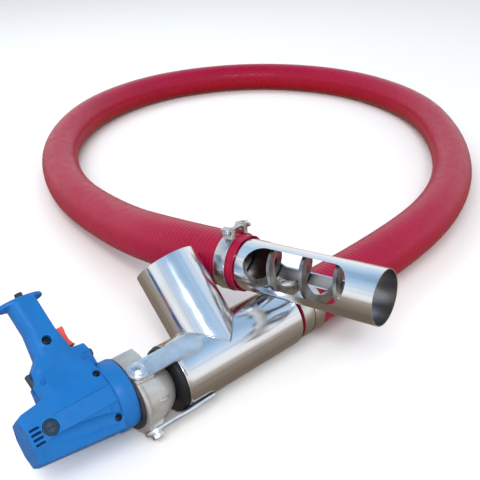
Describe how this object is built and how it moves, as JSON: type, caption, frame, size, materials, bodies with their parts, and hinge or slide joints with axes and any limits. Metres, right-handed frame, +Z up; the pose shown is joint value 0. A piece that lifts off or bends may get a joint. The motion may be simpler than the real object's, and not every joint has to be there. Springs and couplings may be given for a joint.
{
  "type": "grain auger",
  "caption": "Portable grain auger: a pistol-grip drill on a steel discharge tee turns a spiral inside a flexible hose, ending in a windowed intake tube.",
  "frame": {"origin": "centre of the plan outline of drill head and intake tube, on the ground they lie on", "axes": "+X from the drill along the tee to the hose, +Z up, +Y towards the side the hose's loop lies on"},
  "size_m": [1.4808, 1.3641, 0.1801],
  "materials": {
    "stainless_tube": "polished stainless, faint lengthwise grain",
    "strap_steel": "rolled steel strip, dull",
    "zinc_hardware": "zinc plated",
    "clamp_steel": "bright plated",
    "spiral_steel": "worn spring steel",
    "shaft_steel": "ground steel",
    "bush_bronze": "sintered bronze",
    "black_plug": "turned black plastic",
    "gear_case": "as-cast aluminium, slightly rough",
    "gear_plate": "machined aluminium",
    "gasket": "black paper gasket",
    "drill_blue": "moulded blue plastic, fine texture",
    "cap_slate": "dark slate plastic",
    "trigger_red": "coral red plastic",
    "hose_red": "crimson, glossy, fine circumferential ribs",
    "inlet_rubber": "black rubber",
    "motor_iron": "stacked lamination steel",
    "winding_copper": "enamelled copper wire",
    "holder_brass": "stamped brass",
    "carbon": "pressed carbon",
    "fan_plastic": "black nylon",
    "screw_steel": "blackened steel"
  },
  "bodies": {
    "head": {"armature_bearings": "shaft_steel", "auger_hose_section": "spiral_steel", "brush_caps": "cap_slate", "brush_holders": "holder_brass", "carbon_brushes": "carbon", "cord_inlet": "inlet_rubber", "drill_shell_far": "drill_blue", "drill_shell_near": "drill_blue", "end_plug": "black_plug", "field_coils": "winding_copper", "front_collar": "drill_blue", "gear_plate": "gear_plate", "gearbox_case": "gear_case", "hose": "hose_red", "intake_clamp_band": "clamp_steel", "intake_clamp_bolt": "clamp_steel", "intake_tube": "stainless_tube", "layshaft_bushes": "bush_bronze", "motor_gasket": "gasket", "mounting_strap_far": "strap_steel", "mounting_strap_low": "strap_steel", "mounting_strap_near": "strap_steel", "outlet_clamp_a_band": "clamp_steel", "outlet_clamp_a_bolt": "clamp_steel", "outlet_clamp_b_band": "clamp_steel", "outlet_clamp_b_bolt": "clamp_steel", "shell_screws": "screw_steel", "spindle_bearings": "shaft_steel", "stator_core": "motor_iron", "strap_bolts": "zinc_hardware", "strap_washers": "zinc_hardware", "tee_branch": "stainless_tube", "tee_main_tube": "stainless_tube", "trigger_switch": "cap_slate"},
    "drive_auger": {"auger_drive_section": "spiral_steel", "coupling_pin": "shaft_steel", "drill_spindle": "shaft_steel", "spindle_gear": "shaft_steel"},
    "layshaft": {"layshaft": "shaft_steel", "first_reduction_gear": "shaft_steel"},
    "armature": {"armature_shaft": "shaft_steel", "armature_core": "motor_iron", "commutator": "winding_copper", "cooling_fan": "fan_plastic"},
    "intake_auger": {"auger_intake_section": "spiral_steel"},
    "trigger": {"trigger": "trigger_red"},
    "lock_button": {"lock_button": "cap_slate"},
    "reverse_rocker": {"reverse_rocker": "cap_slate"},
    "intake_wing_nut": {"intake_clamp_wing_nut": "clamp_steel"},
    "outlet_wing_nut_a": {"outlet_clamp_a_wing_nut": "clamp_steel"},
    "outlet_wing_nut_b": {"outlet_clamp_b_wing_nut": "clamp_steel"}
  },
  "joints": [
    {"name": "spindle_spin", "type": "hinge", "parent": "head", "child": "drive_auger", "pos_m": [-0.00575, 0.01232, 0.0445], "axis": [1, 0, 0], "continuous": true},
    {"name": "layshaft_spin", "type": "hinge", "parent": "head", "child": "layshaft", "pos_m": [-0.11575, 0.00639, 0.06022], "axis": [1, 0, 0], "continuous": true},
    {"name": "armature_spin", "type": "hinge", "parent": "head", "child": "armature", "pos_m": [-0.18575, 0.02347, 0.05454], "axis": [1, 0, 0], "continuous": true},
    {"name": "intake_spin", "type": "hinge", "parent": "head", "child": "intake_auger", "pos_m": [0.12323, 0.00611, 0.12788], "axis": [0.2035, -0.9742, 0.0976], "continuous": true},
    {"name": "trigger_pull", "type": "slide", "parent": "head", "child": "trigger", "axis": [-1, 0, 0], "range_m": [0, 0.006], "stiffness_N_per_m": 1200, "springref_m": -0.004},
    {"name": "lock_press", "type": "slide", "parent": "head", "child": "lock_button", "axis": [-1, 0, 0], "range_m": [0, 0.0025], "stiffness_N_per_m": 500, "springref_m": -0.003},
    {"name": "reverse_tilt", "type": "hinge", "parent": "head", "child": "reverse_rocker", "pos_m": [-0.21525, 0.06508, 0.09201], "axis": [0, 0.6691, -0.7431], "range_deg": [-5, 5]},
    {"name": "intake_nut_turn", "type": "hinge", "parent": "head", "child": "intake_wing_nut", "pos_m": [0.13416, 0.08633, 0.1681], "axis": [0.9756, 0.1934, -0.104], "continuous": true},
    {"name": "outlet_nut_a_turn", "type": "hinge", "parent": "head", "child": "outlet_wing_nut_a", "pos_m": [0.15325, 0.0641, 0.02695], "axis": [0, 0.0872, -0.9962], "continuous": true},
    {"name": "outlet_nut_b_turn", "type": "hinge", "parent": "head", "child": "outlet_wing_nut_b", "pos_m": [0.17475, 0.06649, 0.03715], "axis": [0, 0.2756, -0.9613], "continuous": true}
  ],
  "couplings": [
    {"joint": "layshaft_spin", "follows": "spindle_spin", "ratio": -2.5},
    {"joint": "armature_spin", "follows": "spindle_spin", "ratio": 7.5},
    {"joint": "intake_spin", "follows": "spindle_spin", "ratio": 1}
  ]
}
